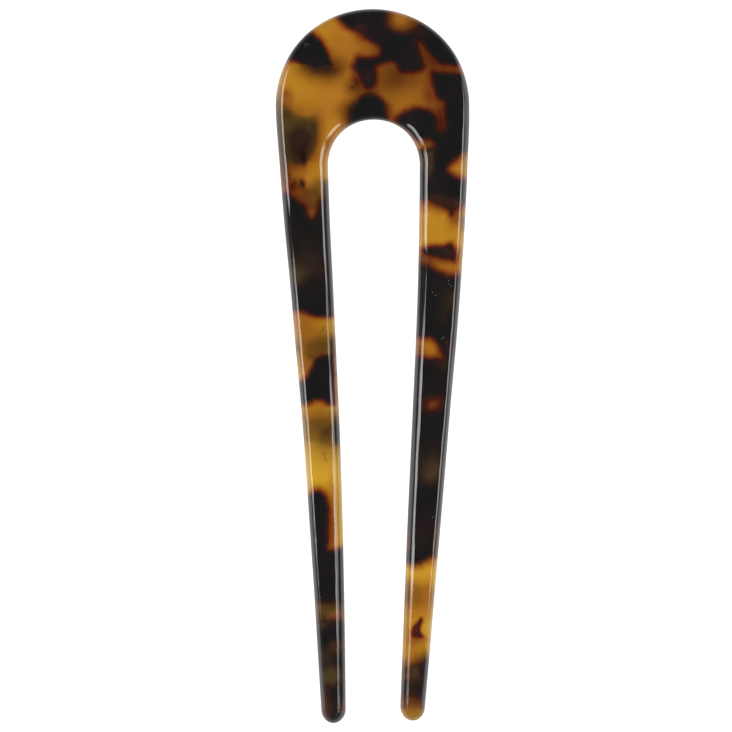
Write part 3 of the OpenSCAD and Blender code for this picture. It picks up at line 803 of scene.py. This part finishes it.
where = node("ShaderNodeTexCoord").outputs["Object"]


def noise(scale, detail=2.0, rough=0.5, distortion=0.0):
    n = node("ShaderNodeTexNoise", in_Scale=scale, in_Detail=detail, in_Roughness=rough, in_Distortion=distortion)
    link(where, n.inputs["Vector"])
    return maths("SUBTRACT", n.outputs["Fac"], 0.5)


big = noise(260, 3, 0.55, 0.3)
small = noise(1100, 3, 0.6)
fine = noise(4200, 2, 0.5)

middle = noise(560, 3, 0.55, 0.4)
patch = noise(190, 2, 0.5)

uneven = maths("ADD", maths("MULTIPLY", big, 2.2), maths("MULTIPLY", middle, 3.2))
uneven = maths("MULTIPLY", maths("ADD", uneven, maths("MULTIPLY", small, 1.6)), attribute("ragged"))
ink_v = maths("ADD", attribute("ink"), uneven)
rim_v = attribute("rim")
tone_v = maths("ADD", attribute("tone"), maths("MULTIPLY", big, 0.16))
# More golden towards the silhouette of the rounded edge: painted light, standing in for light passing through the thin
# edge.
tone_v = maths("ADD", tone_v, maths("MULTIPLY", rim_v, 0.22))
cloud_v = maths("ADD", attribute("cloud"), maths("MULTIPLY", maths("MULTIPLY", big, attribute("cloud")), 0.5))
veil_v = maths("ADD", attribute("veil"), maths("MULTIPLY", maths("MULTIPLY", big, attribute("veil")), 0.7))

# The clear base, from brown to gold, with the olive clouds in it.
amber = ramp(tone_v, -0.2, 1.2, [
    (-0.2, seen(70, 34, 20)), (0.0, seen(92, 48, 20)), (0.3, seen(128, 76, 24)), (0.45, seen(145, 92, 29)),
    (0.6, seen(163, 106, 33)), (0.78, seen(175, 124, 34)), (1.0, seen(194, 148, 43)), (1.2, seen(202, 161, 56))])
olive = ramp(cloud_v, 0.0, 1.0, [
    (0.0, seen(120, 84, 28)), (0.4, seen(96, 68, 26)), (0.6, seen(78, 60, 28)), (0.8, seen(62, 47, 28)),
    (1.0, seen(46, 30, 23))])
clouded = mix(ramp(cloud_v, 0.0, 1.0, [(0.0, 0.0), (0.1, 0.12), (0.45, 0.8), (0.7, 1.0)]), amber, olive)
# The pinkish cast: partly the sheet's own tint, partly painted light on the rounded edges.
blush_v = maths("ADD", attribute("blush"), maths("MULTIPLY", maths("MULTIPLY", big, attribute("blush")), 0.6))
clouded = mix(blush_v, clouded, ramp(blush_v, 0.0, 1.0, [(0.0, seen(140, 86, 52)), (1.0, seen(132, 78, 66))]))
# The ink's edges pass through red-brown, where it takes away green and blue
# first, or through plain brown.
reddish = ramp(ink_v, -8.0, 3.0, [
    (-8.0, [1.0, 1.0, 1.0, 1.0]), (-7.0, [0.96, 0.93, 0.88, 1.0]), (-6.0, [0.89, 0.81, 0.74, 1.0]),
    (-5.0, [0.80, 0.67, 0.58, 1.0]), (-4.0, [0.70, 0.53, 0.48, 1.0]), (-3.0, [0.60, 0.38, 0.42, 1.0]),
    (-2.0, [0.49, 0.24, 0.38, 1.0]), (-1.0, [0.35, 0.12, 0.30, 1.0]), (0.0, [0.18, 0.05, 0.20, 1.0]),
    (1.0, [0.08, 0.02, 0.12, 1.0]), (2.0, [0.035, 0.01, 0.05, 1.0]), (3.0, [0.0, 0.0, 0.0, 1.0])])
brownish = ramp(ink_v, -8.0, 3.0, [
    (-8.0, [1.0, 1.0, 1.0, 1.0]), (-6.0, [0.90, 0.88, 0.86, 1.0]), (-5.0, [0.81, 0.77, 0.75, 1.0]),
    (-4.0, [0.70, 0.65, 0.65, 1.0]), (-3.0, [0.58, 0.52, 0.55, 1.0]), (-2.0, [0.45, 0.39, 0.46, 1.0]),
    (-1.0, [0.30, 0.26, 0.36, 1.0]), (0.0, [0.18, 0.14, 0.24, 1.0]), (1.0, [0.095, 0.06, 0.12, 1.0]),
    (2.0, [0.04, 0.02, 0.05, 1.0]), (3.0, [0.0, 0.0, 0.0, 1.0])])
passed = mix(attribute("red"), brownish, reddish)
# The dark itself: near-black, drifting between warm and cool.
night = ramp(patch, -0.2, 0.2, [
    (-0.2, seen(24, 26, 24)), (-0.05, seen(25, 25, 25)), (0.06, seen(28, 25, 26)), (0.2, seen(33, 26, 27))])
thin = ramp(veil_v, 0.0, 1.0, [(0.0, seen(60, 40, 28)), (0.5, seen(66, 48, 32)), (1.0, seen(74, 60, 36))])
night = mix(ramp(veil_v, 0.0, 1.0, [(0.0, 0.0), (0.2, 0.1), (0.9, 0.9)]), night, thin)
full = ramp(ink_v, -8.0, 3.0, [(-0.8, 0.0), (0.2, 0.25), (1.2, 0.75), (2.2, 1.0)])
colour = blend("ADD", blend("MULTIPLY", clouded, passed), blend("MULTIPLY", night, full))


def marks(points):
    """1 on small marks of the front face, 0 off them: chart x and y of each, and its reach."""
    total = None
    for mx, my, reach in points:
        n = node("ShaderNodeVectorMath", operation="DISTANCE")
        link(where, n.inputs[0])
        n.inputs[1].default_value = ((mx - 372.5) * UNIT * MM, (366.15 - my) * UNIT * MM, SHEET_T * MM)
        v = node("ShaderNodeMapRange", interpolation_type="SMOOTHSTEP")
        v.inputs["From Min"].default_value = reach * UNIT * MM
        v.inputs["From Max"].default_value = 0.3 * reach * UNIT * MM
        link(n.outputs["Value"], v.inputs["Value"])
        total = v.outputs["Result"] if total is None else maths("MAXIMUM", total, v.outputs["Result"])
    return total


# Short dark scores in the gold, and pale nicks in the dark.
score = marks([(324, 328, 1.3), (323, 330, 1.4), (322, 332, 1.4), (321, 334, 1.1), (324.5, 452.5, 1.1),
(324.6, 454.5, 1.2),
               (324.8, 456.5, 1.0), (324.5, 458.3, 1.2), (326, 459.4, 1.2), (327.4, 460.6, 1.0), (295, 171, 1.4)])
nick = marks([(305, 44.5, 1.2), (308, 45, 1.1), (305.5, 47, 0.9), (432.4, 292.4, 1.2), (435.4, 295.2, 1.1),
(433, 517, 1.2),
              (443.4, 337.6, 1.3), (441.6, 339.2, 1.0), (448.4, 281, 1.1), (448.6, 284, 1.1), (451.2, 286, 1.0),
              (320, 596.6, 1.3)])
colour = mix(maths("MULTIPLY", score, 0.75), colour, ramp(score, 0.0, 1.0, [(0.0, seen(108, 76, 18)),
(1.0, seen(96, 66, 16))]))
colour = mix(maths("MULTIPLY", nick, 0.8), colour, ramp(nick, 0.0, 1.0, [(0.0, seen(70, 68, 68)),
(1.0, seen(84, 84, 84))]))

surface = node("ShaderNodeBsdfPrincipled", in_IOR=1.48)
link(colour, surface.inputs["Base Color"])
rough = spread(maths("ADD", small, fine), -0.5, 0.5)
rough_n = node("ShaderNodeMapRange")
rough_n.inputs["To Min"].default_value = 0.05
rough_n.inputs["To Max"].default_value = 0.13
link(rough, rough_n.inputs["Value"])
link(rough_n.outputs["Result"], surface.inputs["Roughness"])
bump = node("ShaderNodeBump", in_Strength=0.12, in_Distance=0.00002)
link(maths("ADD", maths("MULTIPLY", small, 1.0), maths("MULTIPLY", fine, 0.3)), bump.inputs["Height"])
link(bump.outputs["Normal"], surface.inputs["Normal"])
out = node("ShaderNodeOutputMaterial")
link(surface.outputs["BSDF"], out.inputs["Surface"])
mesh.materials.append(mat)

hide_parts("hair_pin")
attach(pin, "root")

# ---------------------------------------------------------------- floor
floor_mesh = bpy.data.meshes.new("floor")
S = 3.0
floor_mesh.from_pydata([(-S, -S, 0), (S, -S, 0), (S, S, 0), (-S, S, 0)], [], [(0, 1, 2, 3)])
floor = bpy.data.objects.new("floor", floor_mesh)
floor.location = (0, 0, -0.00002)
bpy.context.scene.collection.objects.link(floor)
fm = bpy.data.materials.new("floor_white")
fm.use_nodes = True
fb = fm.node_tree.nodes["Principled BSDF"]
fb.inputs["Base Color"].default_value = (0.22, 0.22, 0.22, 1)
fb.inputs["Roughness"].default_value = 1.0
fb.inputs["Specular IOR Level"].default_value = 0.0
fb.inputs["Emission Color"].default_value = (1, 1, 1, 1)
fb.inputs["Emission Strength"].default_value = 1.02
floor_mesh.materials.append(fm)

# ---------------------------------------------------------------- light
def lamp(name, x, y, turn, across, low, high, radiance):
    """An upright soft panel with its middle over (x, y), turned towards the pin, from low to high in height."""
    data = bpy.data.lights.new(name, "AREA")
    data.shape = "RECTANGLE"
    data.size, data.size_y = high - low, across
    data.energy = radiance * math.pi * data.size * data.size_y
    o = bpy.data.objects.new(name, data)
    o.location = (x, y, (low + high) / 2)
    o.rotation_euler = (0, math.radians(90), math.radians(turn))
    bpy.context.scene.collection.objects.link(o)


# Each panel is dimmer along its lower edge, and towards the tips' end.
for part, low, high, share_of in (("low", 0.30, 0.42, 0.5), ("high", 0.42, 0.72, 1.0)):
    lamp("lamp_right_" + part, 0.37, 0.056, 0, 0.288, low, high, 8.2 * share_of)
    lamp("lamp_right_end_" + part, 0.37, -0.0955, 0, 0.015, low, high, 4.0 * share_of)
    lamp("lamp_left_" + part, -0.37, 0.074, 180, 0.292, low, high, 9.3 * share_of)
    lamp("lamp_left_end_" + part, -0.37, -0.0795, 180, 0.015, low, high, 4.5 * share_of)
    lamp("lamp_front_right_" + part, 0.294, -0.2194, -41, 0.208, low, high, 7.5 * share_of)
    lamp("lamp_front_left_" + part, -0.3052, -0.2033, 219.6, 0.2567, low, high, 8.5 * share_of)

world = bpy.data.worlds.new("studio")
bpy.context.scene.world = world
world.use_nodes = True
wt = world.node_tree
wt.nodes.clear()
wc = wt.nodes.new("ShaderNodeTexCoord")
ws = wt.nodes.new("ShaderNodeSeparateXYZ")
wr = wt.nodes.new("ShaderNodeValToRGB")
wr.color_ramp.elements[0].position = 0.0
wr.color_ramp.elements[0].color = (0.42, 0.42, 0.42, 1)
wr.color_ramp.elements[1].position = 0.85
wr.color_ramp.elements[1].color = (0.12, 0.12, 0.12, 1)
wl = wt.nodes.new("ShaderNodeLightPath")
wm = wt.nodes.new("ShaderNodeMix")
wm.data_type = "RGBA"
wm.inputs[7].default_value = (0.9, 0.9, 0.9, 1)
wb = wt.nodes.new("ShaderNodeBackground")
wo = wt.nodes.new("ShaderNodeOutputWorld")
wt.links.new(wc.outputs["Generated"], ws.inputs[0])
wt.links.new(ws.outputs["Z"], wr.inputs["Fac"])
wt.links.new(wr.outputs["Color"], wm.inputs[6])
wt.links.new(wl.outputs["Is Camera Ray"], wm.inputs[0])
wt.links.new(wm.outputs[2], wb.inputs["Color"])
wt.links.new(wb.outputs["Background"], wo.inputs["Surface"])

# ---------------------------------------------------------------- camera
FRAME_W = 732 * UNIT * MM
cam_data = bpy.data.cameras.new("camera")
cam_data.lens = 300
cam_data.sensor_width = 36
cam = bpy.data.objects.new("camera", cam_data)
bpy.context.scene.collection.objects.link(cam)
cam.location = ((366 - 372.5) * UNIT * MM, (366.15 - 366) * UNIT * MM,
                SHEET_T / 2 * MM + FRAME_W * cam_data.lens / cam_data.sensor_width)
cam.rotation_euler = (0, 0, 0)
bpy.context.scene.camera = cam

scene = bpy.context.scene
scene.view_settings.view_transform = "Standard"
scene.view_settings.look = "None"
scene.cycles.use_denoising = True
